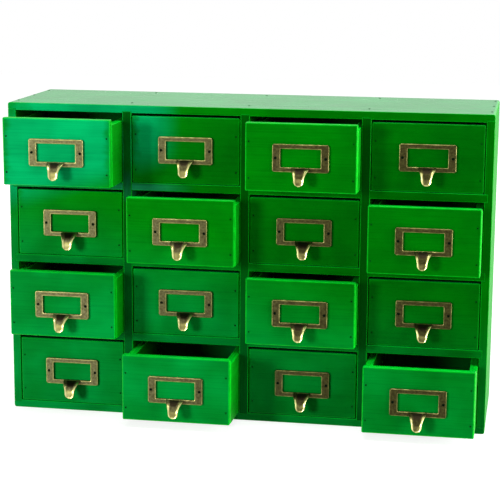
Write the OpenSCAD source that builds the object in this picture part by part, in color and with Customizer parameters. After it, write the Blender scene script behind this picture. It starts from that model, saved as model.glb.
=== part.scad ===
// Tabletop apothecary cabinet: a nailed case of thin stained boards, with four rows of four drawers.
// Every drawer front carries a brass card frame whose lower bar runs out into a finger tongue.
// Millimetres. X runs to the right, Y to the back and Z up, from the middle of the underside.

/* [Case] */
// Overall width of the case
case_w = 530; // [460:1:640]
// Overall height of the case
case_h = 347; // [310:1:420]
// Overall depth of the case
case_d = 152; // [130:1:200]
// Thickness of the top and bottom boards
cap_t = 8.6; // [6:0.1:12]
// Thickness of the two side boards
side_t = 8.8; // [7:0.1:12]
// Thickness of the upright dividers
divider_t = 10; // [7:0.1:14]
// Thickness of the shelves
shelf_t = 8.8; // [6:0.1:12]
// Thickness of the back panel
back_t = 4; // [3:0.1:8]
// Width of the rebate that holds the back panel
rebate_w = 4; // [2:0.1:5]
// Depth of the grooves in the sides that hold the shelf ends
dado_d = 4; // [2:0.1:5]
// Depth of the grooves in the top and bottom boards that hold the sides and dividers
cap_dado_d = 2; // [1:0.1:4]
// Radius of the rounded outer edges at both ends of the top and bottom boards
case_corner_r = 2.5; // [0.5:0.1:4]
// Glue line in every fixed wooden joint
glue_gap = 0.1; // [0.05:0.01:0.2]

/* [Drawers] */
// Gap at each side of a drawer
side_gap = 0.8; // [0.5:0.1:2]
// Gap above a drawer front
top_gap = 2.6; // [1:0.1:4]
// Running gap under a drawer
run_gap = 0.3; // [0.2:0.1:0.8]
// Gap between a closed drawer and the back panel
rear_gap = 2; // [1:0.5:10]
// Thickness of a drawer front
front_t = 8; // [6:0.1:12]
// Thickness of a drawer's side walls
wall_t = 8; // [6:0.1:11]
// Thickness of a drawer's rear wall
rear_t = 6; // [4:0.1:10]
// How far the walls stop below the top of the front
wall_drop = 6; // [2:0.5:12]
// Thickness of a drawer's floor
floor_t = 3; // [2:0.1:5]
// Height of the floor's underside above the drawer's lower edge
floor_lift = 4; // [2:0.5:8]
// Depth of the grooves that hold the floor
groove_d = 3.5; // [2:0.1:5]

/* [Drawers as they stand] */
// How far the drawers of the top row stand open, from left to right
open_row_1 = [48, 0, 32, 0]; // [0:1:100]
// How far the drawers of the second row stand open
open_row_2 = [0, 29, 0, 28]; // [0:1:100]
// How far the drawers of the third row stand open
open_row_3 = [35, 0, 25, 0]; // [0:1:100]
// How far the drawers of the bottom row stand open
open_row_4 = [0, 52, 0, 48]; // [0:1:100]

/* [Pulls] */
// Width of the card frame
frame_w = 60; // [50:0.5:76]
// Height of the card frame
frame_h = 29.5; // [26:0.5:38]
// Thickness of the card frame
frame_t = 1.8; // [1.4:0.1:3]
// Radius of the card frame's corners
frame_corner_r = 2.2; // [1:0.1:4]
// Width of the card frame's left and right bars
frame_side_bar = 8.5; // [7:0.1:11]
// Height of the card frame's upper and lower bars
frame_flat_bar = 4.9; // [4:0.1:7]
// Width of the tongue where it leaves the frame
tongue_root_w = 17; // [13:0.5:24]
// Width of the tongue at its rounded tip
tongue_tip_w = 11; // [8:0.5:13]
// How far the tongue stands out from the drawer front
tongue_reach = 15; // [11:0.5:20]
// Length of the straight end of the tongue, below its bend
tongue_end_l = 3.1; // [1:0.1:8]
// Thickness of the tongue
tongue_t = 1.8; // [1.2:0.1:3]

/* [Pins and nails] */
// Inset of each pin from the end of the card frame
pin_inset = 3.3; // [2.5:0.1:4.5]
// Diameter of a pin's head
pin_head_d = 2.4; // [2:0.1:3.4]
// Thickness of a pin's head
pin_head_t = 0.7; // [0.4:0.1:1]
// Diameter of a pin's shank
pin_d = 1.4; // [1:0.1:1.8]
// How deep a pin goes into the drawer front
pin_bite = 5; // [3:0.5:5.5]
// Diameter of a nail's head
nail_head_d = 1.9; // [1.6:0.1:3]
// Thickness of a nail's head
nail_head_t = 0.8; // [0.4:0.1:1.2]
// Diameter of a nail's shank
nail_d = 1.2; // [0.8:0.1:1.5]
// How deep a nail goes into the board behind
nail_bite = 14; // [8:1:24]
// Gap around each nail and pin in its hole
nail_gap = 0.05; // [0.02:0.01:0.1]
// How far each nail and pin head is sunk below the surface
head_sink = 0.15; // [0.05:0.05:0.3]
// Height of a drawer front's lower nails above its lower edge
nail_low = 14; // [10:1:20]
// Distance of a drawer front's upper nails below its top edge
nail_high = 20; // [14:1:28]
// Distance of the foremost case nails from the front edge
nail_from_front = 24; // [12:1:40]
// Distance of the hindmost case nails from the back edge
nail_from_back = 14; // [10:1:30]

/* [Hidden] */
$fn = 48;
over = 1;                                    // how far a cut runs past the face that it opens
rows = 4;
cols = 4;
stain = [0, 0.45, 0.11];
bare_wood = [0.02, 0.36, 0.12];
brass = [0.52, 0.43, 0.3];
iron = [0.16, 0.15, 0.13];

half_w = case_w / 2;
front_y = -case_d / 2;
back_y = case_d / 2;
inner_back_y = back_y - back_t - glue_gap;   // where shelves and dividers stop
lap_y = (front_y + inner_back_y) / 2;        // halfway lap of shelves and dividers
under_top = case_h - cap_t;
upright_low = cap_t - cap_dado_d;            // floor of the lower grooves for sides and dividers
upright_high = under_top + cap_dado_d;       // and roof of the upper ones
opening_w = (case_w - 2 * side_t - (cols - 1) * divider_t) / cols;
opening_h = (case_h - 2 * cap_t - (rows - 1) * shelf_t) / rows;

drawer_w = opening_w - 2 * side_gap;
drawer_l = inner_back_y - front_y - rear_gap;
front_h = opening_h - run_gap - top_gap;
wall_h = front_h - wall_drop;
floor_top = floor_lift + floor_t;
drawer_opening = [open_row_1, open_row_2, open_row_3, open_row_4];

bend_r = tongue_reach - frame_t / 2;         // outer radius of the tongue's bend
tongue_root_z = frame_flat_bar - frame_h / 2;
tongue_tip_z = tongue_root_z - bend_r - tongue_end_l;

case_nail_rows = [front_y + nail_from_front, back_y - nail_from_back];
case_nail_middle = (case_nail_rows[0] + case_nail_rows[1]) / 2;

cells = [for (r = [1:rows]) for (c = [1:cols]) [r, c]];
case_nodes = ["top_panel", "bottom_panel", "left_side", "right_side", "back_panel",
    "divider_1", "divider_2", "divider_3", "shelf_1", "shelf_2", "shelf_3", "case_nails"];

// Name of a drawer's place, such as r1c1 for the first row and first column
function tag(cell) = str("r", cell[0], "c", cell[1]);
// Left edge of a column of openings
function col_x(c) = side_t - half_w + (c - 1) * (opening_w + divider_t);
// Lower edge of a row of openings, counted from the top
function row_z(r) = cap_t + (rows - r) * (opening_h + shelf_t);
function divider_x(d) = col_x(d) + opening_w;

// Case nails as places on the plan: three over each side and two over each divider
function side_nail_spots(x) = [for (y = [case_nail_rows[0], case_nail_middle, case_nail_rows[1]]) [x, y]];
function divider_nail_spots(d) = [for (y = case_nail_rows) [divider_x(d) + divider_t / 2, y]];
left_spots = side_nail_spots(side_t / 2 - half_w);
right_spots = side_nail_spots(half_w - side_t / 2);
all_spots = concat(left_spots, right_spots, [for (d = [1:cols - 1]) each divider_nail_spots(d)]);

// Board between two opposite corners
module board(low, high) {
    translate(low) cube(high - low);
}

// Nail or pin along +Z: its head's face lies head_sink above the origin, its shank goes up through
// the outer piece and then "bite" into the piece behind; "room" makes the hole for it
module fastener(head_d, head_t, shank_d, through, bite, room = 0) {
    head_from = room > 0 ? -over : head_sink;
    translate([0, 0, head_from]) cylinder(d = head_d + 2 * room, h = head_sink + head_t + room - head_from);
    translate([0, 0, head_sink]) cylinder(d = shank_d + 2 * room, h = through + bite + room - head_sink);
}

module nail(through, room = 0) {
    fastener(nail_head_d, nail_head_t, nail_d, through, nail_bite, room);
}

// Nails up through the bottom board, and down through the top board
module lower_nails(spots, room = 0) {
    for (spot = spots) translate([spot[0], spot[1], 0]) nail(cap_t, room);
}

module upper_nails(spots, room = 0) {
    for (spot = spots) translate([spot[0], spot[1], case_h]) mirror([0, 0, 1]) nail(cap_t, room);
}

// Recess that the back panel fills, cut from the four outer boards
module back_recess() {
    reach = half_w - side_t + rebate_w;
    board([-reach, inner_back_y, cap_t - rebate_w], [reach, back_y + over, under_top + rebate_w]);
}

// Spaces that the sides and dividers take, with their grooves in the top and bottom boards
module upright_rooms() {
    side_in = half_w - side_t - glue_gap;
    for (turn = [0, 1])
        mirror([turn, 0, 0])
            board([side_in, front_y - over, upright_low], [half_w + over, back_y + over, upright_high]);
    for (d = [1:cols - 1])
        board([divider_x(d) - glue_gap, front_y - over, upright_low],
            [divider_x(d) + divider_t + glue_gap, inner_back_y + over, upright_high]);
}

// Top board as it lies from z = 0 upwards: its two upper ends are rounded
module cap_board() {
    rotate([90, 0, 0]) linear_extrude(case_d, center = true) {
        translate([-half_w, 0]) square([case_w, cap_t - case_corner_r]);
        translate([case_corner_r - half_w, 0]) square([case_w - 2 * case_corner_r, cap_t]);
        for (side = [-1, 1])
            translate([side * (half_w - case_corner_r), cap_t - case_corner_r]) circle(r = case_corner_r);
    }
}

module top_panel() {
    color(stain) difference() {
        translate([0, 0, under_top]) cap_board();
        back_recess();
        upright_rooms();
        upper_nails(all_spots, nail_gap);
    }
}

module bottom_panel() {
    color(stain) difference() {
        translate([0, 0, cap_t]) mirror([0, 0, 1]) cap_board();
        back_recess();
        upright_rooms();
        lower_nails(all_spots, nail_gap);
    }
}

// Space that a shelf takes in the boards it crosses, with its glue line
module shelf_room(s, x_from, x_to, y_from) {
    board([x_from, y_from, row_z(s) - shelf_t - glue_gap], [x_to, back_y + over, row_z(s) + glue_gap]);
}

module left_side() {
    color(stain) difference() {
        board([-half_w, front_y, upright_low + glue_gap], [side_t - half_w, back_y, upright_high - glue_gap]);
        for (s = [1:rows - 1])
            shelf_room(s, side_t - half_w - dado_d, side_t - half_w + over, front_y - over);
        back_recess();
        upper_nails(left_spots, nail_gap);
        lower_nails(left_spots, nail_gap);
    }
}

module right_side() {
    mirror([1, 0, 0]) left_side();
}

module back_panel() {
    reach = half_w - side_t + rebate_w - glue_gap;
    color(bare_wood)
        board([-reach, back_y - back_t, cap_t - rebate_w + glue_gap],
            [reach, back_y, under_top + rebate_w - glue_gap]);
}

// Upright divider, slotted from the back so that it slides over the shelves
module divider(d) {
    x = divider_x(d);
    color(stain) difference() {
        board([x, front_y, upright_low + glue_gap], [x + divider_t, inner_back_y, upright_high - glue_gap]);
        for (s = [1:rows - 1]) shelf_room(s, x - over, x + divider_t + over, lap_y);
        upper_nails(divider_nail_spots(d), nail_gap);
        lower_nails(divider_nail_spots(d), nail_gap);
    }
}

// Shelf, slotted from the front where the dividers cross it, with its ends let into the sides
module shelf(s) {
    reach = half_w - side_t + dado_d - glue_gap;
    color(stain) difference() {
        board([-reach, front_y, row_z(s) - shelf_t], [reach, inner_back_y, row_z(s)]);
        for (d = [1:cols - 1])
            board([divider_x(d) - glue_gap, front_y - over, row_z(s) - shelf_t - over],
                [divider_x(d) + divider_t + glue_gap, lap_y + glue_gap, row_z(s) + over]);
    }
}

module case_nails() {
    color(iron) {
        upper_nails(all_spots);
        lower_nails(all_spots);
    }
}

// Moves to a drawer's own frame: its lower left front corner, where it stands
module at_drawer(cell) {
    open = drawer_opening[cell[0] - 1][cell[1] - 1];
    translate([col_x(cell[1]) + side_gap, front_y - open, row_z(cell[0]) + run_gap]) children();
}

// Nails through the ends of a drawer front into the box walls
module front_nails(room = 0) {
    for (x = [wall_t / 2, drawer_w - wall_t / 2])
        for (z = [nail_low, front_h - nail_high])
            translate([x, 0, z]) rotate([-90, 0, 0]) nail(front_t, room);
}

// The two pins that hold a card frame
module frame_pins(room = 0) {
    for (side = [-1, 1])
        translate([drawer_w / 2 + side * (frame_w / 2 - pin_inset), -frame_t, front_h / 2])
            rotate([-90, 0, 0]) fastener(pin_head_d, pin_head_t, pin_d, frame_t, pin_bite, room);
}

// Groove that takes the edges of a drawer floor, in the front and in both walls
module floor_groove() {
    board([wall_t - groove_d, front_t - groove_d, floor_lift - glue_gap],
        [drawer_w - wall_t + groove_d, drawer_l + over, floor_top + glue_gap]);
}

module drawer_front(cell) {
    at_drawer(cell) {
        color(stain) difference() {
            board([0, 0, 0], [drawer_w, front_t, front_h]);
            floor_groove();
            front_nails(nail_gap);
            frame_pins(nail_gap);
        }
        color(iron) front_nails();
    }
}

// Box behind the front: two walls, a rear wall between them and a floor held in grooves
module drawer_box(cell) {
    at_drawer(cell) color(bare_wood) {
        for (x = [0, drawer_w - wall_t])
            difference() {
                board([x, front_t + glue_gap, 0], [x + wall_t, drawer_l, wall_h]);
                floor_groove();
                front_nails(nail_gap);
            }
        board([wall_t + glue_gap, drawer_l - rear_t, floor_top + glue_gap],
            [drawer_w - wall_t - glue_gap, drawer_l, wall_h]);
        board([wall_t - groove_d + glue_gap, front_t - groove_d + glue_gap, floor_lift],
            [drawer_w - wall_t + groove_d - glue_gap, drawer_l, floor_top]);
    }
}

// Card frame's outline: a rectangle with round corners and a window
module frame_outline() {
    difference() {
        union() {
            square([frame_w - 2 * frame_corner_r, frame_h], center = true);
            square([frame_w, frame_h - 2 * frame_corner_r], center = true);
            for (x = [-1, 1]) for (z = [-1, 1])
                translate([x * (frame_w / 2 - frame_corner_r), z * (frame_h / 2 - frame_corner_r)])
                    circle(r = frame_corner_r);
        }
        square([frame_w - 2 * frame_side_bar, frame_h - 2 * frame_flat_bar], center = true);
    }
}

// Tongue from the side: a quarter bend outwards and down, then a short straight end
module tongue_profile() {
    intersection() {
        difference() {
            circle(r = bend_r);
            circle(r = bend_r - tongue_t);
        }
        square(bend_r + over);
    }
    translate([bend_r - tongue_t, -tongue_end_l]) square([tongue_t, tongue_end_l]);
}

// Tongue from the front: it narrows from the root to a round tip
module tongue_outline() {
    tip_mid_z = tongue_tip_z + tongue_tip_w / 2;
    polygon([[-tongue_root_w / 2, tongue_root_z + over], [tongue_root_w / 2, tongue_root_z + over],
        [tongue_tip_w / 2, tip_mid_z], [-tongue_tip_w / 2, tip_mid_z]]);
    translate([0, tip_mid_z]) circle(d = tongue_tip_w);
}

module tongue() {
    intersection() {
        translate([0, -frame_t / 2, tongue_root_z - bend_r])
            rotate([90, 0, -90])
                linear_extrude(tongue_root_w + 2 * over, center = true) tongue_profile();
        rotate([90, 0, 0]) linear_extrude(tongue_reach + over) tongue_outline();
    }
}

// Card-frame pull with its two pins
module pull(cell) {
    at_drawer(cell) {
        color(brass) difference() {
            translate([drawer_w / 2, 0, front_h / 2]) union() {
                rotate([90, 0, 0]) linear_extrude(frame_t) frame_outline();
                tongue();
            }
            frame_pins(nail_gap);
        }
        color(iron) frame_pins();
    }
}

top_panel();
bottom_panel();
left_side();
right_side();
back_panel();
for (d = [1:cols - 1])
    divider(d);
for (s = [1:rows - 1])
    shelf(s);
case_nails();
for (cell = cells) {
    drawer_front(cell);
    drawer_box(cell);
    pull(cell);
}
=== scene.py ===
"""Looks of a tabletop apothecary cabinet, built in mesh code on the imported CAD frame.

Every board, nail, pin and pull stands on the box of its own CAD solid. Boards get eased edges, their
joints, and a grain that runs along them. Metres, in the CAD frame: X right, Y back, Z up.
"""

import math
import random

import bmesh
import bpy
from mathutils import Matrix, Vector


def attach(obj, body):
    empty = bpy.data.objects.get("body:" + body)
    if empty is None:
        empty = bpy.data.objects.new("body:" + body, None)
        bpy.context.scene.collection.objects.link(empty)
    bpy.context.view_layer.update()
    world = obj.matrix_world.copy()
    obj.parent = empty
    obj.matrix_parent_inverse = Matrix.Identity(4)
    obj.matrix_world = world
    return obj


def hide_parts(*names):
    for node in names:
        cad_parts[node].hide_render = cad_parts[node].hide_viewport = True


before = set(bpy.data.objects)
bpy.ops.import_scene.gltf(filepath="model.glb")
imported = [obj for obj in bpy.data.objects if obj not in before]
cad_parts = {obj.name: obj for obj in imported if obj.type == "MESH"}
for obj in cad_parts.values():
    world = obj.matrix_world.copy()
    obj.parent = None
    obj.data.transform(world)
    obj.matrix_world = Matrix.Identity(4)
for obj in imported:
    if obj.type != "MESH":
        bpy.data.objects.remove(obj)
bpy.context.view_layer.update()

MM = 0.001
ROWS = 4
COLS = 4
WELD = 1e-6                       # vertices closer than this are one
OVER = 1 * MM                     # how far a cut runs past the face that it opens

# Boards
GLUE_GAP = 0.1 * MM               # room round a board that is let into another
CASE_EASE = 0.7 * MM              # rounded edges of the case boards
FRONT_EASE = 1.4 * MM             # of the drawer fronts
BOX_EASE = 0.6 * MM               # of the drawer walls
CAP_END_R = 2.5 * MM              # of the ends of the top and bottom boards
EASE_STEPS = 3
CAP_END_STEPS = 6
SHARP_ANGLE = 40                  # degrees between two faces from which their edge is sharp
AXIS_FACE = 0.995                 # a face is flat, and no eased edge, if its normal is this near an axis
GRAIN_SHIFT = 5                   # metres, at most, by which each board's grain is moved
NAIL_REACH = 2 * MM               # a case nail belongs to a face that lies this near to it

# Tone of a drawer front's stain: every other front is darker, a little at the left and more at the right
# and in the top row. That darkening is painted shade, for the shadows that open drawers throw on shut ones.
FULL_TONE = 1.0
LEFT_SHADE_TONE = 0.92
RIGHT_SHADE_TONE = 0.66

# How thin a face's stain is: -1 nearly black, 0 deep, 1 worn bright. Below 0 it is painted shade, and on
# edges and upper faces it is partly painted highlight
DENT_THIN = -1
DIVIDER_SHADE = -0.65              # front edges of the dividers, darker: painted shade between the drawers
INSIDE_SHADE = -0.5                # faces inside the case and the drawers, darker: painted shade
SHELF_SHADE = -0.25                # front edges of the shelves, darker: painted shade between the drawers
UPPER_HIGHLIGHT = 0.12                 # case boards, upper faces, paler: painted light from above
OUTER_THIN = 0.16                 # case boards, outer faces
CASE_EDGE_WEAR_AND_HIGHLIGHT = 0.3              # case boards, eased edges: wear and a painted highlight
FRONT_THIN = 0.04                 # drawer fronts
FRONT_BACK_THIN = 0.2
SHUT_EDGE_WEAR_AND_HIGHLIGHT = 0.18             # eased edges of the darker fronts: wear and a painted highlight, kept low as painted shade
OPEN_EDGE_WEAR_AND_HIGHLIGHT = 0.45             # of the lighter ones: wear and a painted highlight
OPEN_END_WEAR_AND_HIGHLIGHT = 0.85              # narrow sides of the lighter fronts: end grain and a painted highlight of the light from the right
BOX_SIDE_THIN = 0.24              # drawer walls, outer faces
BOX_EDGE_WEAR_AND_HIGHLIGHT = 0.9               # and their edges and upper faces: wear and a painted highlight

# Nails and pins
NAIL_HEAD_R = 0.75 * MM
TOP_HEAD_R = 1.1 * MM             # of the nails on the top, whose heads stand a little proud
TOP_HEAD_RISE = 0.25 * MM
DIMPLE_R = 1.05 * MM              # dent that a driven nail leaves in the wood
DIMPLE_DEPTH = 0.45 * MM
DIMPLE_FLOOR = 0.8                # radius of its floor, as a share
DENT_REACH = 1.5                  # radius of its dark ring, as a share
HEAD_DOME = 0.22 * MM
DOME_POINTS = ((0.55, 0.8), (0.9, 0.3))     # shares of the head's radius and of the dome's height
ROUND_STEPS = 16
HEAD_T = 0.8 * MM
SHANK_SHARE = 0.62                # shank's radius as a share of the head's

# Card-frame pull, round the centre of its drawer front
FRAME_T = 2.5 * MM
FRAME_CORNER_R = 2.2 * MM
WINDOW_CORNER_R = 1.1 * MM
SIDE_BAR = 8.5 * MM               # width of the upright bars
FLAT_BAR = 4.9 * MM               # height of the level bars
FRAME_EDGE_R = 0.55 * MM
RUBBED_W = 1.5 * MM               # width of the rubbed edges
CORNER_STEPS = 6
EDGE_RINGS = 3                    # rings over a rounded edge, after its first one
CORNER_SHRINK = 0.6               # how much of its inset a ring's corner radius gives up
SMOOTH_ANGLE = 38                 # degrees, as SHARP_ANGLE, for the casting
PIN_HOLE_R = 1.6 * MM
PIN_HEAD_R = 1.45 * MM
PIN_SINK = 0.3 * MM
ROOT_HALF = 9.9 * MM              # half width of the tongue where it leaves the frame
TIP_HALF = 5.4 * MM               # and at its round tip
REACH = 15 * MM                   # how far it stands out from the drawer front
END_L = 4.6 * MM                  # its straight end, below the bend
TONGUE_T = 1.8 * MM
DISH_DEPTH = 0.65 * MM            # of the hollow between its rims
RIM_W = 2.6 * MM
RIM_TURNS = (45, 90, 135)         # degrees round a rim where its section has points
BACK_DISH = 0.6                   # dish of the lower face, as a share of the upper one's
DISH_START = 5 * MM               # where the dish has its full depth
TONGUE_EDGE = 0.7 * MM            # rounding of the rims and the tip
TIP_CUT = 0.12 * MM               # little end face that closes the round tip
SEAT = 0.05 * MM                  # how far the root lies under the top of the bar
SLIVER = 0.01 * MM                # what booleans leave below this size is taken out
TONGUE_STEPS = 26
TONGUE_SPACING = 1.25             # over 1, the steps are closer near the tip
TONGUE_ACROSS = 14

# Wear of the pull: -1 dark, 0 patina, 1 rubbed bright. The dark of the frame's walls is painted shade
WALL_SHADE = -0.7                   # side walls of the card frame, dark: painted shade
EDGE_RUB = 0.68                   # its rounded edges
RIM_RUB = 0.95                    # rims of the tongue
LOWER_RUB = 0.56                  # its lower half
HOLLOW_RUB = -0.75                # its hollow near the root
FRAME_NEAR = 0.3 * MM             # what stands out further than this from the frame is tongue
RUB_START = 0.3 * MM              # from the frame's edge
LEAST_HALF = 0.3 * MM             # half width that the end of the tip counts as
TIP_FADE = (0.8 * MM, 2.4 * MM)   # heights over the tip
RIM_FADE = (0.45, 0.78)           # shares of the tongue's half width
LOWER_FADE = (35, 85)             # degrees round the tongue's bend
LEFT_RIM_START = 22               # where a rim starts to be bright; the right rim's earlier start is a painted highlight
RIGHT_RIM_START = 3
RIM_FADE_TURN = 35                # degrees over which it gets there


# CAD solids

def box_of(points):
    """Lowest and highest corner of some points."""
    return Vector(map(min, zip(*points))), Vector(map(max, zip(*points)))


def volume(box):
    size = box[1] - box[0]
    return size.x * size.y * size.z


def solids(node):
    """Boxes of the separate solids in a CAD node, the largest first."""
    bm = bmesh.new()
    bm.from_mesh(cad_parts[node].data)
    bmesh.ops.remove_doubles(bm, verts=bm.verts, dist=WELD)
    left = set(bm.verts)
    boxes = []
    while left:
        reached = [left.pop()]
        points = []
        while reached:
            vert = reached.pop()
            points.append(vert.co.copy())
            near = {edge.other_vert(vert) for edge in vert.link_edges} & left
            left -= near
            reached.extend(near)
        boxes.append(box_of(points))
    bm.free()
    return sorted(boxes, key=volume, reverse=True)


def grown(box, by):
    margin = Vector((by, by, by))
    return box[0] - margin, box[1] + margin


def thin_axis(box):
    """The axis, 0 to 2, along which a box is thinnest."""
    size = box[1] - box[0]
    return min(range(3), key=lambda axis: size[axis])


# Mesh helpers

def add_block(bm, box):
    """Adds a sharp box to bm."""
    low, high = box
    place = Matrix.Translation((low + high) / 2) @ Matrix.Diagonal((*(high - low), 1))
    bmesh.ops.create_cube(bm, size=1, matrix=place)


def add_lathe(bm, profile, place):
    """Turns a profile of (radius, height) points round Z, put in place by a matrix.

    The profile's ends lie on the axis.
    """
    rings = []
    for radius, height in profile:
        if radius == 0:
            rings.append([bm.verts.new(place @ Vector((0, 0, height)))])
            continue
        ring = []
        for step in range(ROUND_STEPS):
            turn = math.tau * step / ROUND_STEPS
            point = Vector((radius * math.cos(turn), radius * math.sin(turn), height))
            ring.append(bm.verts.new(place @ point))
        rings.append(ring)
    for upper, lower in zip(rings, rings[1:]):
        for step in range(ROUND_STEPS):
            after = (step + 1) % ROUND_STEPS
            corners = [upper[step % len(upper)], lower[step % len(lower)],
                       lower[after % len(lower)], upper[after % len(upper)]]
            bm.faces.new(list(dict.fromkeys(corners)))


def mesh_of(bm, name):
    """Turns bm into a mesh with outward normals, and frees it."""
    bmesh.ops.recalc_face_normals(bm, faces=bm.faces)
    mesh = bpy.data.meshes.new(name)
    bm.to_mesh(mesh)
    bm.free()
    return mesh


def new_object(name, mesh):
    obj = bpy.data.objects.new(name, mesh)
    bpy.context.scene.collection.objects.link(obj)
    return obj


def boolean(mesh, tool, operation):
    """The mesh after a boolean with another one; both inputs are used up."""
    base = new_object("boolean_base", mesh)
    other = new_object("boolean_tool", tool)
    step = base.modifiers.new("boolean", "BOOLEAN")
    step.object = other
    step.operation = operation
    step.solver = "EXACT"
    step.use_self = True          # the tool's boxes may overlap
    evaluated = base.evaluated_get(bpy.context.evaluated_depsgraph_get())
    result = bpy.data.meshes.new_from_object(evaluated)
    for used in (base, other):
        data = used.data
        bpy.data.objects.remove(used)
        bpy.data.meshes.remove(data)
    return result


# Boards

def facing(direction):
    """Matrix that turns +Z to a direction."""
    return Vector(direction).to_track_quat("Z", "Y").to_matrix().to_4x4()


def at(point, direction):
    return Matrix.Translation(point) @ facing(direction)


def add_dimple(bm, point, outward):
    """Adds the tool for the dent round a nail head to bm."""
    floor_r = DIMPLE_R * DIMPLE_FLOOR
    slope = (DIMPLE_R - floor_r) / DIMPLE_DEPTH
    mouth_r = DIMPLE_R + slope * OVER
    profile = [(0, OVER), (mouth_r, OVER), (floor_r, -DIMPLE_DEPTH), (0, -DIMPLE_DEPTH)]
    add_lathe(bm, profile, at(point, outward))


def board_mesh(name, box, ease, cuts=(), dimples=(), round_top=0):
    """Board with eased edges, cut by boxes and dented by nails.

    round_top is 1 or -1 where both ends are rounded at the upper or lower side, as on a case's cap boards.
    """
    bm = bmesh.new()
    add_block(bm, box)
    if round_top:
        outer_z = box[1].z if round_top > 0 else box[0].z
        ends = [edge for edge in bm.edges
                if all(abs(v.co.z - outer_z) < WELD for v in edge.verts)
                and abs(edge.verts[0].co.x - edge.verts[1].co.x) < WELD]
        bmesh.ops.bevel(bm, geom=ends, offset=CAP_END_R, segments=CAP_END_STEPS, profile=0.5, affect="EDGES")
    sharp = [edge for edge in bm.edges if edge.calc_face_angle(0) > math.radians(SHARP_ANGLE)]
    bmesh.ops.bevel(bm, geom=sharp, offset=ease, segments=EASE_STEPS, profile=0.5, affect="EDGES",
                    clamp_overlap=True)
    mesh = mesh_of(bm, name)
    if cuts or dimples:
        tool = bmesh.new()
        for cut in cuts:
            add_block(tool, cut)
        for point, outward in dimples:
            add_dimple(tool, point, outward)
        mesh = boolean(mesh, mesh_of(tool, name + "_tool"), "DIFFERENCE")
        mesh.name = name
    return mesh


def dress_board(mesh, grain_axis, thin, dents=(), tone=1.0):
    """Stores what the wood's finish reads.

    That is the place in the board's own grain, the place along it from -1 to 1, how thin each face's stain
    is, with painted shade and highlight, which the given function of normal and is_edge returns, and the
    tone of the board, darker on the shut fronts as painted shade.
    """
    dice = random.Random(mesh.name)
    shift = Vector([dice.uniform(-GRAIN_SHIFT, GRAIN_SHIFT) for _ in range(3)])
    order = {"X": (0, 2, 1), "Y": (1, 2, 0), "Z": (2, 0, 1)}[grain_axis]
    grain = mesh.attributes.new("grain", "FLOAT_VECTOR", "POINT")
    for vert, item in zip(mesh.vertices, grain.data):
        item.vector = Vector([vert.co[axis] for axis in order]) + shift
    low, high = box_of([vert.co for vert in mesh.vertices])
    middle, half = (low + high)[order[0]] / 2, (high - low)[order[0]] / 2
    along = mesh.attributes.new("along", "FLOAT", "POINT")
    along.data.foreach_set("value", [(vert.co[order[0]] - middle) / half for vert in mesh.vertices])
    batch = mesh.attributes.new("batch", "FLOAT", "POINT")
    batch.data.foreach_set("value", [tone] * len(mesh.vertices))
    dent_r = DENT_REACH * DIMPLE_R
    stain = mesh.attributes.new("thin", "FLOAT", "FACE")
    for face, item in zip(mesh.polygons, stain.data):
        is_edge = max(map(abs, face.normal)) < AXIS_FACE
        is_dent = is_edge and any((face.center - point).length < dent_r for point, _ in dents)
        item.value = DENT_THIN if is_dent else thin(face.normal, is_edge)
    smooth(mesh)


def place_piece(name, mesh, body, material, replaced=()):
    """Makes a piece of a finished mesh: it rides on a body and stands for CAD nodes."""
    obj = new_object(name, mesh)
    mesh.materials.clear()
    mesh.materials.append(material)
    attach(obj, body)
    if replaced:
        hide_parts(*replaced)
    return obj


def flatten_normals(obj):
    """Keeps the broad faces flat in the shading, with the turn of the light on the eased edges."""
    weighted = obj.modifiers.new("flat_faces", "WEIGHTED_NORMAL")
    weighted.keep_sharp = True
    return obj


# Case

def case_stain_and_light(normal, is_edge):
    if is_edge:
        return CASE_EDGE_WEAR_AND_HIGHLIGHT
    if normal.z > AXIS_FACE:
        return UPPER_HIGHLIGHT
    # faces that look neither forward nor up get painted shade
    return 0.0 if normal.y < -AXIS_FACE else INSIDE_SHADE


def outer_stain_and_light(normal, is_edge):
    return OUTER_THIN if abs(normal.x) > AXIS_FACE else max(0.0, case_stain_and_light(normal, is_edge))


def left_stain_and_light(normal, is_edge):
    return INSIDE_SHADE if normal.x > AXIS_FACE else outer_stain_and_light(normal, is_edge)


def right_stain_and_light(normal, is_edge):
    return INSIDE_SHADE if normal.x < -AXIS_FACE else outer_stain_and_light(normal, is_edge)


def divider_stain_and_light(normal, is_edge):
    return DIVIDER_SHADE if normal.y < -AXIS_FACE else case_stain_and_light(normal, is_edge)


def shelf_stain_and_light(normal, is_edge):
    return SHELF_SHADE if normal.y < -AXIS_FACE else case_stain_and_light(normal, is_edge)


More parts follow.
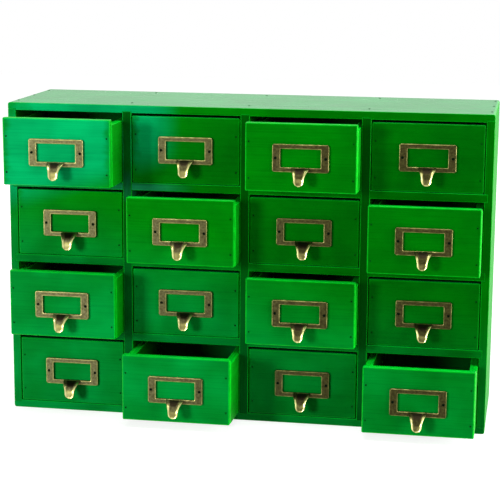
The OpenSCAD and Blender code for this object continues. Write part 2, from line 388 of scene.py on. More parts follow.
def make_case(wood, iron):
    shelves = [solids(f"shelf_{s}")[0] for s in range(1, ROWS)]
    dividers = [solids(f"divider_{d}")[0] for d in range(1, COLS)]
    sides = [solids("left_side")[0], solids("right_side")[0]]
    back = solids("back_panel")[0]
    nails = solids("case_nails")
    uprights = [grown(box, GLUE_GAP) for box in sides + dividers]
    back_room = grown(back, GLUE_GAP)
    lap_y = (dividers[0][0].y + dividers[0][1].y) / 2

    def behind_lap(box):
        low, high = grown(box, GLUE_GAP)
        return Vector((low.x, lap_y, low.z)), high

    def before_lap(box):
        low, high = grown(box, GLUE_GAP)
        return Vector((low.x, low.y - OVER, low.z)), Vector((high.x, lap_y + GLUE_GAP, high.z))

    def add(name, box, grain_axis, cuts, thin=case_stain_and_light, dimples=(), round_top=0):
        mesh = board_mesh(name + "_board", box, CASE_EASE, cuts, dimples, round_top)
        dress_board(mesh, grain_axis, thin, dimples)
        flatten_normals(place_piece(name + "_board", mesh, "case", wood, [name]))

    def heads(z, outward):
        return [(Vector(((low.x + high.x) / 2, (low.y + high.y) / 2, z)), outward)
                for low, high in nails if low.z - NAIL_REACH < z < high.z + NAIL_REACH]

    top = solids("top_panel")[0]
    bottom = solids("bottom_panel")[0]
    up, down = Vector((0, 0, 1)), Vector((0, 0, -1))
    upper_heads = heads(top[1].z, up)
    lower_heads = heads(bottom[0].z, down)
    add("top_panel", top, "X", uprights + [back_room], outer_stain_and_light, upper_heads, 1)
    add("bottom_panel", bottom, "X", uprights + [back_room], outer_stain_and_light, lower_heads, -1)
    for name, box, thin in zip(("left_side", "right_side"), sides, (left_stain_and_light, right_stain_and_light)):
        add(name, box, "Z", [grown(shelf, GLUE_GAP) for shelf in shelves] + [back_room], thin)
    for number, box in enumerate(dividers, 1):
        add(f"divider_{number}", box, "Z", [behind_lap(shelf) for shelf in shelves], divider_stain_and_light)
    for number, box in enumerate(shelves, 1):
        add(f"shelf_{number}", box, "X", [before_lap(divider) for divider in dividers], shelf_stain_and_light)
    add("back_panel", back, "X", [])

    bm = bmesh.new()
    length = nails[0][1].z - nails[0][0].z
    for point, outward in upper_heads:
        add_nail(bm, point, outward, TOP_HEAD_R, length, TOP_HEAD_RISE)
    for point, outward in lower_heads:
        add_nail(bm, point, outward, NAIL_HEAD_R, length)
    mesh = mesh_of(bm, "case_nail_heads")
    smooth(mesh)
    place_piece("case_nail_heads", mesh, "case", iron, ["case_nails"])


def add_nail(bm, point, outward, head_r, length, rise=-DIMPLE_DEPTH / 2):
    """Nail with a low domed head, whose rim stands at rise over the surface, and its shank."""
    shank_r = head_r * SHANK_SHARE
    tip = 2 * shank_r
    dome = [(head_r * across, HEAD_DOME * height + rise) for across, height in DOME_POINTS]
    profile = [(0, HEAD_DOME + rise), *dome, (head_r, rise), (head_r, rise - HEAD_T),
               (shank_r, rise - HEAD_T), (shank_r, tip - length), (0, -length)]
    add_lathe(bm, profile, at(point, outward))


def stain_nails(mesh):
    """Marks nails that were stained over with the wood round them."""
    stain = mesh.attributes.new("stain", "FLOAT", "POINT")
    stain.data.foreach_set("value", [1.0] * len(mesh.vertices))


def smooth(mesh, angle=SHARP_ANGLE):
    mesh.polygons.foreach_set("use_smooth", [True] * len(mesh.polygons))
    mesh.set_sharp_from_angle(angle=math.radians(angle))


# Drawers

def open_front_stain_and_light(normal, is_edge):
    if abs(normal.y) > AXIS_FACE:
        return FRONT_THIN if normal.y < 0 else FRONT_BACK_THIN
    return OPEN_EDGE_WEAR_AND_HIGHLIGHT if is_edge else OPEN_END_WEAR_AND_HIGHLIGHT


def shut_front_stain_and_light(normal, is_edge):
    if is_edge:
        return SHUT_EDGE_WEAR_AND_HIGHLIGHT
    return open_front_stain_and_light(normal, is_edge) if abs(normal.y) > AXIS_FACE else INSIDE_SHADE


def box_stain_and_light(inward):
    """Stain of a box board whose inner face looks inward, with painted shade inside and a painted highlight
    on its edges and upper faces.
    """
    def thin(normal, is_edge):
        if normal.dot(inward) > AXIS_FACE:
            return INSIDE_SHADE
        return BOX_EDGE_WEAR_AND_HIGHLIGHT if is_edge or normal.z > AXIS_FACE else BOX_SIDE_THIN
    return thin


def make_drawer(tag, tone, wood, brass, iron):
    body = "drawer_" + tag
    outward = Vector((0, -1, 0))
    front, *front_nails = solids("front_" + tag)
    boards = solids("box_" + tag)
    floor = next(box for box in boards if thin_axis(box) == 2)
    floor_room = grown(floor, GLUE_GAP)
    heads = [(Vector(((low.x + high.x) / 2, front[0].y, (low.z + high.z) / 2)), outward)
             for low, high in front_nails]

    mesh = board_mesh(f"front_{tag}_board", front, FRONT_EASE, [floor_room], heads)
    dress_board(mesh, "X", open_front_stain_and_light if tone == FULL_TONE else shut_front_stain_and_light, heads, tone)
    flatten_normals(place_piece(f"front_{tag}_board", mesh, body, wood, ["front_" + tag]))

    bm = bmesh.new()
    for point, way in heads:
        add_nail(bm, point, way, NAIL_HEAD_R, front_nails[0][1].y - front_nails[0][0].y)
    mesh = mesh_of(bm, f"front_{tag}_nails")
    stain_nails(mesh)
    smooth(mesh)
    place_piece(f"front_{tag}_nails", mesh, body, iron)

    front_middle = (front[0] + front[1]) / 2
    box_names = {0: "wall", 1: "rear", 2: "floor"}
    for number, box in enumerate(boards):
        axis = thin_axis(box)
        name = f"box_{tag}_{box_names[axis]}_{number + 1}"
        mesh = board_mesh(name, box, BOX_EASE, [floor_room] if axis == 0 else [])
        inward = Vector((0, 0, 0))
        inward[axis] = math.copysign(1, front_middle[axis] - (box[0] + box[1])[axis] / 2)
        dress_board(mesh, "Y" if axis == 0 else "X", box_stain_and_light(inward))
        replaced = ["box_" + tag] if number == 0 else []
        flatten_normals(place_piece(name, mesh, body, wood, replaced))

    make_pull(tag, body, front, brass, iron)


# Pull

ready = {}                        # the finished casting, made once and copied


def blend_step(value, low, high):
    """0 up to low, 1 from high, and a smooth step between them."""
    share = min(1, max(0, (value - low) / (high - low)))
    return share * share * (3 - 2 * share)


def rounded_rectangle(half_w, half_h, radius):
    """Points of a rectangle with round corners, counter-clockwise from the lower right corner."""
    points = []
    for corner, (side, level) in enumerate(((1, -1), (1, 1), (-1, 1), (-1, -1))):
        for step in range(CORNER_STEPS + 1):
            turn = math.radians(90 * (corner - 1 + step / CORNER_STEPS))
            points.append((side * (half_w - radius) + radius * math.cos(turn),
                           level * (half_h - radius) + radius * math.sin(turn)))
    return points


def frame_mesh(half_w, half_h):
    """Card frame: a flat ring between two outlines, with rounded front edges; its back lies on y = 0."""
    outer = [(0, 0)]              # inset and depth of each ring, from the back over the rounded edge
    for step in range(EDGE_RINGS + 1):
        turn = math.radians(90 * step / EDGE_RINGS)
        outer.append((FRAME_EDGE_R * (1 - math.cos(turn)), FRAME_T - FRAME_EDGE_R * (1 - math.sin(turn))))
    bm = bmesh.new()
    loops = []

    def ring(w, h, radius, depth):
        loops.append([bm.verts.new((x, -depth, z)) for x, z in rounded_rectangle(w, h, radius)])

    window_w, window_h = half_w - SIDE_BAR, half_h - FLAT_BAR
    middle_r = (FRAME_CORNER_R + WINDOW_CORNER_R) / 2
    for inset, depth in [*outer, (RUBBED_W, FRAME_T)]:
        ring(half_w - inset, half_h - inset, FRAME_CORNER_R - inset * CORNER_SHRINK, depth)
    ring(half_w - SIDE_BAR / 2, half_h - FLAT_BAR / 2, middle_r, FRAME_T)
    for inset, depth in reversed([*outer, (RUBBED_W, FRAME_T)]):
        ring(window_w + inset, window_h + inset, WINDOW_CORNER_R + inset * CORNER_SHRINK, depth)
    for before, after in zip(loops, loops[1:] + loops[:1]):
        count = len(before)
        for index in range(count):
            following = (index + 1) % count
            bm.faces.new((before[index], before[following], after[following], after[index]))
    return mesh_of(bm, "card_frame")


def tongue_half_width(z, root_z, tip_z):
    """Half of the tongue's width at a height: it narrows to the middle of its round tip."""
    tip_mid = tip_z + TIP_HALF
    if z >= tip_mid:
        share = (z - tip_mid) / (root_z - tip_mid)
        return TIP_HALF + (ROOT_HALF - TIP_HALF) * share ** 2
    return math.sqrt(max(TIP_HALF ** 2 - (tip_mid - z) ** 2, 0))


def tongue_section(half, thick, to_tip, rise):
    """Points round the tongue's cross-section, as places across it and heights over its upper face."""
    edge = min(TONGUE_EDGE, half / 2)
    flat = half - edge
    thinner = (TONGUE_T - thick) / 2
    upper = []
    for column in range(TONGUE_ACROSS + 1):
        x = flat * math.sin(math.pi / 2 * (2 * column / TONGUE_ACROSS - 1))
        rim = 1 - min(1, min(half - abs(x), to_tip) / RIM_W)
        upper.append((x, rise * DISH_DEPTH * (blend_step(rim, 0, 1) - 1) - thinner))
    lower = [(x, BACK_DISH * (height + thinner) - thinner - thick) for x, height in reversed(upper)]
    middle = (upper[0][1] + lower[-1][1]) / 2
    radius = (upper[0][1] - lower[-1][1]) / 2
    turns = [math.radians(angle) for angle in RIM_TURNS]
    right = [(flat + edge * math.sin(turn), middle + radius * math.cos(turn)) for turn in turns]
    left = [(-x, 2 * middle - height) for x, height in right]
    return upper + right + lower + left


def tongue_bend(root_z):
    """Radius of the tongue's bend, the place of its axis in Y and Z, and the height of the tip."""
    radius = REACH - FRAME_T / 2
    centre_z = root_z - radius
    return radius, -FRAME_T / 2, centre_z, centre_z - END_L


def tongue_mesh(root_z):
    """Finger tongue: a dished strip with round rims that bends out and down from the top of the lower bar."""
    bend_r, centre_y, centre_z, tip_z = tongue_bend(root_z)
    bend_l = bend_r * math.pi / 2
    total = bend_l + END_L
    bm = bmesh.new()
    loops = []
    for step in range(TONGUE_STEPS + 1):
        share = step / TONGUE_STEPS
        along = (total - TIP_CUT) * (1 - (1 - share) ** TONGUE_SPACING)
        if along < bend_l:
            turn = along / bend_r
            normal = Vector((0, -math.sin(turn), math.cos(turn)))
            centre = Vector((0, centre_y, centre_z)) + normal * bend_r
        else:
            normal = Vector((0, -1, 0))
            centre = Vector((0, centre_y - bend_r, centre_z - (along - bend_l)))
        half = tongue_half_width(centre.z, root_z, tip_z)
        to_tip = total - along
        thick = TONGUE_T * math.sqrt(1 - max(0, 1 - to_tip / TONGUE_EDGE) ** 2)
        section = tongue_section(half, thick, to_tip, min(1, along / DISH_START))
        loops.append([bm.verts.new(centre + Vector((x, 0, 0)) + normal * (height - SEAT))
                      for x, height in section])
    for before, after in zip(loops, loops[1:]):
        for index in range(len(before)):
            bm.faces.new((before[index - 1], before[index], after[index], after[index - 1]))
    bm.faces.new(loops[0])
    bm.faces.new(loops[-1])
    return mesh_of(bm, "tongue")


def cleaned(mesh):
    """The mesh without the slivers that booleans leave."""
    bm = bmesh.new()
    bm.from_mesh(mesh)
    bmesh.ops.remove_doubles(bm, verts=bm.verts, dist=SLIVER)
    bmesh.ops.dissolve_degenerate(bm, edges=bm.edges, dist=SLIVER)
    bm.to_mesh(mesh)
    bm.free()
    return mesh


def make_pull(tag, body, front, brass, iron):
    casting, *pins = solids("pull_" + tag)
    centre = Vector(((front[0].x + front[1].x) / 2, front[0].y, (front[0].z + front[1].z) / 2))
    half_w = (casting[1].x - casting[0].x) / 2
    half_h = casting[1].z - centre.z
    root_z = FLAT_BAR - half_h
    if "pull" not in ready:
        whole = boolean(frame_mesh(half_w, half_h), tongue_mesh(root_z), "UNION")
        tool = bmesh.new()
        for low, high in pins:
            place = Vector(((low.x + high.x) / 2, 0, (low.z + high.z) / 2)) - Vector((centre.x, 0, centre.z))
            profile = [(0, 2 * REACH), (PIN_HOLE_R, 2 * REACH), (PIN_HOLE_R, -FRAME_T), (0, -FRAME_T)]
            add_lathe(tool, profile, at(place, (0, -1, 0)))
        ready["pull"] = cleaned(boolean(whole, mesh_of(tool, "pin_holes"), "DIFFERENCE"))
        rub_and_light_pull(ready["pull"], half_w, half_h, root_z)
        smooth(ready["pull"], SMOOTH_ANGLE)
    mesh = ready["pull"].copy()
    mesh.name = f"pull_{tag}_casting"
    mesh.transform(Matrix.Translation(centre))
    flatten_normals(place_piece(f"pull_{tag}_casting", mesh, body, brass, ["pull_" + tag]))

    bm = bmesh.new()
    for low, high in pins:
        point = Vector(((low.x + high.x) / 2, centre.y - FRAME_T, (low.z + high.z) / 2))
        add_nail(bm, point + Vector((0, PIN_SINK, 0)), (0, -1, 0), PIN_HEAD_R, high.y - low.y)
    mesh = mesh_of(bm, f"pull_{tag}_pins")
    smooth(mesh)
    place_piece(f"pull_{tag}_pins", mesh, body, iron)


def frame_rub_and_shade(x, y, z, half_w, half_h):
    """Wear of the card frame: rubbed at its edges, and painted shade that darkens its side walls."""
    if y > FRAME_EDGE_R - FRAME_T - WELD:
        return WALL_SHADE
    outer = min(half_w - abs(x), half_h - abs(z))
    inner = max(abs(x) - half_w + SIDE_BAR, abs(z) - half_h + FLAT_BAR)
    to_edge = max(min(outer, inner), 0)
    return EDGE_RUB * (1 - blend_step(to_edge, RUB_START, RUBBED_W))


def tongue_rub_and_highlight(x, y, z, root_z):
    """Wear of the tongue: bright rims, a rubbed lower half and a dark hollow near the root; the right rim is
    bright nearer the root as a painted highlight.
    """
    _, centre_y, centre_z, tip_z = tongue_bend(root_z)
    turn = math.degrees(math.atan2(centre_y - y, max(z - centre_z, 0)))
    half = max(tongue_half_width(z, root_z, tip_z), LEAST_HALF)
    tip = 1 - blend_step(z - tip_z, *TIP_FADE)
    rim = max(blend_step(abs(x) / half, *RIM_FADE), tip)
    lower = blend_step(turn, *LOWER_FADE)
    # the right rim turns bright sooner: a painted highlight
    start = RIGHT_RIM_START if x > 0 else LEFT_RIM_START
    rims = RIM_RUB * rim * blend_step(turn, start, start + RIM_FADE_TURN)
    return max(rims, LOWER_RUB * lower) + HOLLOW_RUB * (1 - lower) * (1 - rim)


def rub_and_light_pull(mesh, half_w, half_h, root_z):
    """Stores where hands have rubbed the patina off, where it stays dark, and the pull's painted shade and
    highlight.
    """
    rub = mesh.attributes.new("rub", "FLOAT", "POINT")
    for vert, item in zip(mesh.vertices, rub.data):
        x, y, z = vert.co
        is_frame = y > -FRAME_T - FRAME_NEAR
        item.value = frame_rub_and_shade(x, y, z, half_w, half_h) if is_frame else tongue_rub_and_highlight(x, y, z, root_z)


# Finishes

class Shader:
    """A material's node tree, filled one node at a time."""

    def __init__(self, name):
        self.material = bpy.data.materials.new(name)
        self.material.use_nodes = True
        self.tree = self.material.node_tree
        self.surface = self.tree.nodes["Principled BSDF"]

    def put(self, socket, value):
        if isinstance(value, bpy.types.NodeSocket):
            self.tree.links.new(value, socket)
        else:
            socket.default_value = value

    def node(self, kind, inputs=(), **settings):
        node = self.tree.nodes.new(kind)
        for key, value in settings.items():
            setattr(node, key, value)
        for key, value in dict(inputs).items():
            self.put(node.inputs[key], value)
        return node

    def attribute(self, name):
        return self.node("ShaderNodeAttribute", attribute_name=name)

    def xyz(self, vector):
        return self.node("ShaderNodeSeparateXYZ", {0: vector}).outputs

    def math(self, operation, a, b=0.5, clamp=False):
        return self.node("ShaderNodeMath", {0: a, 1: b}, operation=operation, use_clamp=clamp).outputs[0]

    def product(self, first, *others):
        for other in others:
            first = self.math("MULTIPLY", first, other)
        return first

    def scaled(self, vector, scale):
        return self.node("ShaderNodeVectorMath", {0: vector, 1: scale}, operation="MULTIPLY").outputs[0]

    def noise(self, vector, scale=1.0, detail=3.0, roughness=0.55, distortion=0.0):
        inputs = {"Vector": vector, "Scale": scale, "Detail": detail, "Roughness": roughness,
                  "Distortion": distortion}
        return self.node("ShaderNodeTexNoise", inputs).outputs["Fac"]

    def ramp(self, value, low, high, to_low=0.0, to_high=1.0):
        """Smooth step of a value from low to high, which may also fall."""
        inputs = {"Value": value, "From Min": low, "From Max": high, "To Min": to_low, "To Max": to_high}
        return self.node("ShaderNodeMapRange", inputs, interpolation_type="SMOOTHSTEP").outputs["Result"]

    def mix(self, share, a, b, blend="MIX"):
        node = self.node("ShaderNodeMix", data_type="RGBA", blend_type=blend)
        self.put(node.inputs[0], share)
        self.put(node.inputs[6], a)
        self.put(node.inputs[7], b)
        return node.outputs[2]

    def set(self, **inputs):
        for key, value in inputs.items():
            self.put(self.surface.inputs[key.replace("_", " ")], value)

    def bump(self, height, strength, distance):
        node = self.node("ShaderNodeBump", {"Height": height, "Strength": strength, "Distance": distance})
        self.put(self.surface.inputs["Normal"], node.outputs["Normal"])


def colour(red, green, blue):
    return red, green, blue, 1.0


# Stain, in places of the CAD frame: deep green. Painted on it are shade that darkens it to the right, and
# reflections that make it paler and bluer in the upper left corner, in the lower left and on upper faces.
# A ramp has the two ends of what it follows and, where they aren't 0 and 1, what it gives there.
STAIN_LEFT = colour(0.0, 0.175, 0.0003)
# darker to the right: painted shade, for the light falling off away from the left
SHADED_STAIN_RIGHT = colour(0.0, 0.11, 0.0002)
SHADE_SPAN = (-0.2, 0.24)         # in X, from left to right
LOW_REFLECTION = colour(0.0, 0.235, 0.038)       # painted reflection, paler below a line that falls to the right
LOW_SLOPE = 0.25
LOW_Z = (0.21, 0.08)
LOW_X = (0.2, -0.2, 0.5, 1.0)
LOW_CLOUD = (0.25, 0.75, 0.6, 1.0)
CORNER_REFLECTION = colour(0.0, 0.365, 0.108)    # painted reflection, above a line that rises to the right
CORNER_X = (-0.068, -0.105)
CORNER_Z = (0.24, 0.275)
CORNER_SLOPE = 0.3
CORNER_TURN = 0.2                 # distance of the line's turning point from the middle, to the left
CORNER_TONE = 0.85                # the darker fronts keep this tone there
CORNER_THIN = (-0.2, -0.05, 0.15, 1.0)      # the edges of the shelves and dividers take little of it
CORNER_ENDS = (0.84, 1.0, 1.0, 0.25)        # and so do the ends of the fronts
ENDS_PATCH = (0.2, 0.8, -0.05, 0.05)        # makes that limit uneven
SHEEN_REFLECTION = colour(0.01, 0.24, 0.1)       # painted reflection on the edges of the shelf and the dividers below that corner
SHEEN_Z = 0.259
SHEEN_H = (0.022, 0.004)
SHEEN_X = (-0.05, -0.12)
SHEEN_THIN = (-0.05, -0.2)
SHEEN_STREAK = (0.3, 0.6, 0.3, 1.0)
UPPER_REFLECTION = colour(0.0, 0.22, 0.05)       # faces that look up, paler and bluer: painted reflection
# Wear and painted highlight; the second colour is for the corner's painted reflection
WORN_STAIN_AND_HIGHLIGHT = colour(0.0, 0.7, 0.015)
WORN_STAIN_AND_HIGHLIGHT_CORNER = colour(0.005, 0.75, 0.12)
WORN_PATCH = (0.25, 0.75, 0.65, 1.15)
LEFT_END_X = (-0.12, -0.145)      # the fronts' right ends are less bright left of here
LEFT_END_BRIGHTNESS = 0.35
FACES_FRONT = (-0.5, -0.9)        # parts of a face's normal
FACES_UP = (0.7, 0.9)
FACES_RIGHT = (0.6, 0.9)
VARNISH_TINT = colour(0.0, 0.25, 0.02)
VARNISH_IOR = 1.6
VARNISH_ROUGH = (0.25, 0.75, 0.24, 0.36)    # by fibre
SIDE_ROUGHER = (0.8, 1.0, 0.0, 0.3)         # on faces that look sideways

# Noise along, over and across the grain, per metre
FIBRE_SCALE = (14.0, 620.0, 620.0)
STREAK_SCALE = (5.0, 60.0, 60.0)
PATCH_SCALE = (60.0, 110.0, 110.0)
CLOUD_SCALE = 16.0
FIBRE_TONE = (0.3, 0.7, 0.93, 1.07)
STREAK_TONE = (0.3, 0.7, -0.06, 0.06)
CLOUD_TONE = (0.3, 0.7, 0.8, 1.12)
THIN_TONE = (-1.0, 0.0, 0.15, 1.0)
STREAK_RELIEF = 0.6               # as a share of the fibre's
GRAIN_RELIEF = (0.1, 0.25 * MM)   # strength and depth


def stained_wood():
    """Green stain under satin varnish, bright where it is thin; darker to the right as painted shade, bluer
    to the left as a painted reflection, with painted shade and highlights on some faces.
    """
    s = Shader("stained_wood")
    grain = s.attribute("grain").outputs["Vector"]
    thin = s.attribute("thin").outputs["Fac"]
    along = s.attribute("along").outputs["Fac"]
    x, _, z = s.xyz(s.node("ShaderNodeTexCoord").outputs["Object"])
    facing_x, facing_y, facing_z = s.xyz(s.node("ShaderNodeNewGeometry").outputs["Normal"])
    fibre = s.noise(s.scaled(grain, FIBRE_SCALE), detail=4.0, roughness=0.6)
    streak = s.noise(s.scaled(grain, STREAK_SCALE), detail=4.0, roughness=0.6, distortion=1.1)
    patch = s.noise(s.scaled(grain, PATCH_SCALE), distortion=0.5)
    cloud = s.noise(grain, CLOUD_SCALE, detail=2.0)

    # Where each tone of the stain and each painted reflection lies
    to_front = s.ramp(facing_y, *FACES_FRONT)
    # Painted reflection, paler and bluer, in the upper left corner
    rising = s.math("SUBTRACT", z, s.math("MULTIPLY", s.math("ADD", x, CORNER_TURN), CORNER_SLOPE))
    ends = s.math("ADD", s.math("ABSOLUTE", along), s.ramp(patch, *ENDS_PATCH))
    corner = s.product(s.ramp(x, *CORNER_X), s.ramp(rising, *CORNER_Z), to_front,
                       s.ramp(thin, *CORNER_THIN), s.ramp(ends, *CORNER_ENDS))
    # Painted reflection on the shelf and divider edges below the corner
    from_sheen = s.math("ABSOLUTE", s.math("SUBTRACT", z, SHEEN_Z))
    sheen = s.product(s.ramp(from_sheen, *SHEEN_H), s.ramp(x, *SHEEN_X), s.ramp(thin, *SHEEN_THIN),
                      s.ramp(streak, *SHEEN_STREAK))
    # Painted reflection, paler and bluer, in the lower left
    falling = s.math("ADD", z, s.math("MULTIPLY", x, LOW_SLOPE))
    low = s.product(s.ramp(falling, *LOW_Z), s.ramp(x, *LOW_X), to_front, s.ramp(cloud, *LOW_CLOUD))

    # Deep stain, and its tone by grain, by the painted shade of the shut fronts, and by face, darker on dents
    # and on faces with painted shade
    # Painted shade: darker towards the right
    deep = s.mix(s.ramp(x, *SHADE_SPAN), STAIN_LEFT, SHADED_STAIN_RIGHT)
    deep = s.mix(low, deep, LOW_REFLECTION)
    deep = s.mix(corner, deep, CORNER_REFLECTION)
    deep = s.mix(sheen, deep, SHEEN_REFLECTION)
    # Painted reflection on faces that look up
    deep = s.mix(s.ramp(facing_z, *FACES_UP), deep, UPPER_REFLECTION)
    batch = s.math("MAXIMUM", s.attribute("batch").outputs["Fac"], s.math("MULTIPLY", corner, CORNER_TONE))
    tone = s.math("ADD", s.ramp(fibre, *FIBRE_TONE), s.ramp(streak, *STREAK_TONE))
    tone = s.product(tone, s.ramp(cloud, *CLOUD_TONE), batch, s.ramp(thin, *THIN_TONE))
    grey = s.node("ShaderNodeCombineColor", {0: tone, 1: tone, 2: tone}).outputs[0]
    deep = s.mix(1.0, deep, grey, "MULTIPLY")

    # Worn stain, and painted highlight where edges, ends and upper faces are paler
    worn_and_highlight = s.math("MULTIPLY", thin, s.ramp(patch, *WORN_PATCH), clamp=True)
    left_end = s.product(s.ramp(x, *LEFT_END_X), s.ramp(facing_x, *FACES_RIGHT))
    worn_and_highlight = s.product(worn_and_highlight, s.ramp(left_end, 0.0, 1.0, 1.0, LEFT_END_BRIGHTNESS))
    s.set(Base_Color=s.mix(worn_and_highlight, deep, s.mix(corner, WORN_STAIN_AND_HIGHLIGHT, WORN_STAIN_AND_HIGHLIGHT_CORNER)))

    rougher = s.ramp(s.math("ABSOLUTE", facing_x), *SIDE_ROUGHER)
    s.set(Roughness=s.math("ADD", s.ramp(fibre, *VARNISH_ROUGH), rougher))
    s.surface.inputs["IOR"].default_value = VARNISH_IOR
    s.surface.inputs["Specular Tint"].default_value = VARNISH_TINT
    s.bump(s.math("ADD", fibre, s.math("MULTIPLY", streak, STREAK_RELIEF)), *GRAIN_RELIEF)
    return s.material


# Brass, from the darker pulls at the right to the paler ones at the left; the paler left is a painted
# reflection
PATINA_RIGHT = colour(0.053, 0.05, 0.015)
LIT_PATINA_LEFT = colour(0.155, 0.143, 0.066)
DARK_RIGHT = colour(0.025, 0.022, 0.007)
DARK_LEFT = colour(0.078, 0.073, 0.029)
# grime in the tongue's hollow, and painted shade on the frame's side walls
GRIME_AND_SHADE = colour(0.016, 0.012, 0.006)
GOLD = colour(0.21, 0.192, 0.062)
BRIGHT_RIGHT = colour(0.85, 0.8, 0.33)
BRIGHT_LEFT = colour(0.63, 0.58, 0.25)
WHITE = colour(1.0, 1.0, 1.0)
LEFT_REFLECTION_X = (0.12, -0.24)
MOTTLE_SCALE = 420.0
BLOTCH_SCALE = 130.0
MOTTLE_PATINA = (0.36, 0.68)      # ramps, as the stain's
RUB_GRIME_AND_SHADE = (-0.1, -0.7)
BLOTCH_WORN = (0.35, 0.7, -0.1, 0.1)
WORN_GOLD = (0.1, 0.5)
WORN_BRIGHT = (0.45, 0.95)
WORN_ROUGH = (0.1, 0.9, 0.5, 0.3)
CAST_RELIEF = (0.22, 0.2 * MM)    # strength and depth


def antique_brass():
    """Cast brass under a brown patina, rubbed bright on its edges, with painted shade on the frame's side
    walls; paler on the pulls to the left, a painted reflection.
    """
    s = Shader("antique_brass")
    place = s.node("ShaderNodeTexCoord").outputs["Object"]
    rub = s.attribute("rub").outputs["Fac"]
    mottle = s.noise(place, MOTTLE_SCALE, detail=4.0, roughness=0.65)
    blotch = s.noise(place, BLOTCH_SCALE, detail=2.0)
    # Painted reflection: paler towards the left
    left_reflection = s.ramp(s.xyz(place)[0], *LEFT_REFLECTION_X)
    patina = s.mix(left_reflection, PATINA_RIGHT, LIT_PATINA_LEFT)
    dark = s.mix(left_reflection, DARK_RIGHT, DARK_LEFT)
    body = s.mix(s.ramp(mottle, *MOTTLE_PATINA), dark, patina)
    # Grime in the hollow, and painted shade on the frame's walls
    body = s.mix(s.ramp(rub, *RUB_GRIME_AND_SHADE), body, GRIME_AND_SHADE)
    worn_and_highlight = s.math("ADD", rub, s.ramp(blotch, *BLOTCH_WORN), clamp=True)
    worn_and_highlight = s.math("MULTIPLY", worn_and_highlight, s.mix(left_reflection, worn_and_highlight, WHITE))
    gold = s.mix(s.ramp(worn_and_highlight, *WORN_BRIGHT), GOLD, s.mix(left_reflection, BRIGHT_RIGHT, BRIGHT_LEFT))
    s.set(Base_Color=s.mix(s.ramp(worn_and_highlight, *WORN_GOLD), body, gold))
    s.surface.inputs["Metallic"].default_value = 1.0
    s.set(Roughness=s.ramp(worn_and_highlight, *WORN_ROUGH))
    s.bump(mottle, *CAST_RELIEF)
    return s.material


# Iron
IRON_DARK = colour(0.0, 0.004, 0.001)
IRON_PALE = colour(0.003, 0.01, 0.004)
IRON_STAIN = colour(0.0, 0.075, 0.004)
RUST_SCALE = 900.0
IRON_STAIN_SCALE = 26.0
RUST_PALE = (0.3, 0.7)
RUST_ROUGH = (0.3, 0.7, 0.5, 0.7)
RUST_RELIEF = (0.2, 0.1 * MM)     # strength and depth
STAINED_OVER = (0.42, 0.58)
IRON_GLOSS = 0.02


def nail_iron():
    """Dull iron; some of the nails in the fronts are stained over with the wood."""
    s = Shader("nail_iron")
    place = s.node("ShaderNodeTexCoord").outputs["Object"]
    rust = s.noise(place, RUST_SCALE)
    stained = s.ramp(s.noise(place, IRON_STAIN_SCALE, detail=1.0), *STAINED_OVER)
    stained = s.product(stained, s.attribute("stain").outputs["Fac"])
    iron = s.mix(s.ramp(rust, *RUST_PALE), IRON_DARK, IRON_PALE)
    s.set(Base_Color=s.mix(stained, iron, IRON_STAIN))
    s.surface.inputs["Specular IOR Level"].default_value = IRON_GLOSS
    s.set(Roughness=s.ramp(rust, *RUST_ROUGH))
    s.bump(rust, *RUST_RELIEF)
    return s.material


# Stage

FLOOR_SIZE = 8.0
FLOOR_DROP = 0.2 * MM
FLOOR_COLOUR = colour(0.4, 0.4, 0.4)        # for the light that it throws on the object
FLOOR_SHADE = colour(0.42, 0.42, 0.42)      # the part of its white that takes the shadow
FLOOR_GLOW = 0.98                 # the rest of its white, far from the case
FLOOR_GLOW_NEAR = 0.8             # and near it
FLOOR_NEAR = 0.35
FLOOR_FAR = 0.9
WORLD_LIGHT = 0.05


def seen_rays(tree):
    """1 for rays from the camera, reflected ones and those through glass; 0 for light on the object."""
    path = tree.nodes.new("ShaderNodeLightPath").outputs
    total = path["Is Camera Ray"]
    for name in ("Is Glossy Ray", "Is Transmission Ray"):
        add = tree.nodes.new("ShaderNodeMath")
        add.operation = "MAXIMUM"
        tree.links.new(total, add.inputs[0])
        tree.links.new(path[name], add.inputs[1])
        total = add.outputs[0]
    return total


def make_floor():
    """Floor that is seen as white paper with a shadow on it, and that lights the object as grey paper."""
    s = Shader("floor")
    s.tree.nodes.remove(s.surface)
    paper = s.node("ShaderNodeBsdfDiffuse", {"Color": FLOOR_COLOUR}).outputs[0]
    shaded = s.node("ShaderNodeBsdfDiffuse", {"Color": FLOOR_SHADE}).outputs[0]
    place = s.node("ShaderNodeTexCoord").outputs["Object"]
    away = s.node("ShaderNodeVectorMath", {0: place}, operation="LENGTH").outputs["Value"]
    level = s.ramp(away, FLOOR_NEAR, FLOOR_FAR, FLOOR_GLOW_NEAR, FLOOR_GLOW)
    glow = s.node("ShaderNodeEmission", {"Strength": level}).outputs[0]
    white = s.node("ShaderNodeAddShader", {0: shaded, 1: glow}).outputs[0]
    looks = s.node("ShaderNodeMixShader", {0: seen_rays(s.tree), 1: paper, 2: white}).outputs[0]
    s.put(s.tree.nodes["Material Output"].inputs["Surface"], looks)

    bm = bmesh.new()
    bmesh.ops.create_grid(bm, x_segments=1, y_segments=1, size=FLOOR_SIZE / 2)
    floor = new_object("floor", mesh_of(bm, "floor"))
    floor.location.z = -FLOOR_DROP
    floor.data.materials.append(s.material)


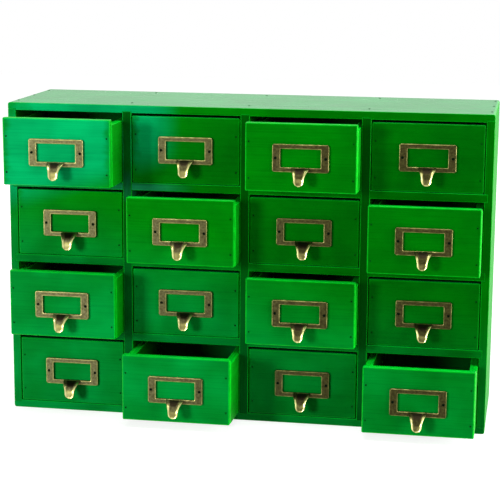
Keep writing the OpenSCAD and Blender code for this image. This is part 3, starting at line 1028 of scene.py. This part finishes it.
def make_world():
    """World that is white where it is seen or mirrored, and dim as a light."""
    world = bpy.data.worlds.new("studio")
    world.use_nodes = True
    bpy.context.scene.world = world
    tree = world.node_tree
    background = tree.nodes["Background"]
    background.inputs["Color"].default_value = WHITE
    level = tree.nodes.new("ShaderNodeMapRange")
    level.inputs["To Min"].default_value = WORLD_LIGHT
    level.inputs["To Max"].default_value = 1.0
    tree.links.new(seen_rays(tree), level.inputs["Value"])
    tree.links.new(level.outputs["Result"], background.inputs["Strength"])


LAMP_TARGET = (0, -0.05, 0.17)
LAMPS = {                         # place, size and watts
    "key": ((-2.6, -3.05, 0.8), 0.9, 140),
    "fill": ((1.85, -1.15, 0.6), 0.6, 14),
    "side": ((1.35, -0.1, 0.45), 0.6, 26),
    "top": ((0.0, -0.3, 1.9), 1.0, 21),
    "back": ((-0.3, 1.9, 1.2), 0.8, 36),
}


def make_lights():
    for name, (place, size, watts) in LAMPS.items():
        data = bpy.data.lights.new(name, "AREA")
        data.shape = "SQUARE"
        data.size = size
        data.energy = watts
        lamp = bpy.data.objects.new(name, data)
        lamp.location = place
        lamp.rotation_mode = "QUATERNION"
        lamp.rotation_quaternion = (Vector(LAMP_TARGET) - Vector(place)).to_track_quat("-Z", "Y")
        lamp.visible_glossy = name != "back"    # else the top board would mirror it
        bpy.context.scene.collection.objects.link(lamp)


# Camera at the photograph's place, found from the case's edges

CAMERA_PLACE = (308.6 * MM, -1763.2 * MM, 532.6 * MM)
CAMERA_YAW = -10.161
CAMERA_PITCH = -11.214
CAMERA_ROLL = -0.375
CAMERA_LENS = 115.8
SENSOR_W = 36
CLIP_START = 0.05
CLIP_END = 50


def make_camera():
    yaw, pitch, roll = (math.radians(a) for a in (CAMERA_YAW, CAMERA_PITCH, CAMERA_ROLL))
    ahead = Vector((math.sin(yaw) * math.cos(pitch), math.cos(yaw) * math.cos(pitch), math.sin(pitch)))
    level = Vector((math.cos(yaw), -math.sin(yaw), 0))
    down = ahead.cross(level)
    right = level * math.cos(roll) + down * math.sin(roll)
    up = level * math.sin(roll) - down * math.cos(roll)
    data = bpy.data.cameras.new("camera")
    data.lens = CAMERA_LENS
    data.sensor_width = SENSOR_W
    data.clip_start = CLIP_START
    data.clip_end = CLIP_END
    camera = bpy.data.objects.new("camera", data)
    camera.matrix_world = Matrix.Translation(CAMERA_PLACE) @ Matrix((right, up, -ahead)).transposed().to_4x4()
    bpy.context.scene.collection.objects.link(camera)
    bpy.context.scene.camera = camera


make_camera()
make_world()
make_lights()
make_floor()
wood_finish = stained_wood()
brass_finish = antique_brass()
iron_finish = nail_iron()
make_case(wood_finish, iron_finish)
for row in range(1, ROWS + 1):
    for column in range(1, COLS + 1):
        # every other front gets a darker tone: painted shade
        shaded_tone = LEFT_SHADE_TONE if row > 1 and column <= COLS / 2 else RIGHT_SHADE_TONE
        tone = shaded_tone if (row + column) % 2 else FULL_TONE
        make_drawer(f"r{row}c{column}", tone, wood_finish, brass_finish, iron_finish)
bpy.context.scene.view_settings.view_transform = "Standard"
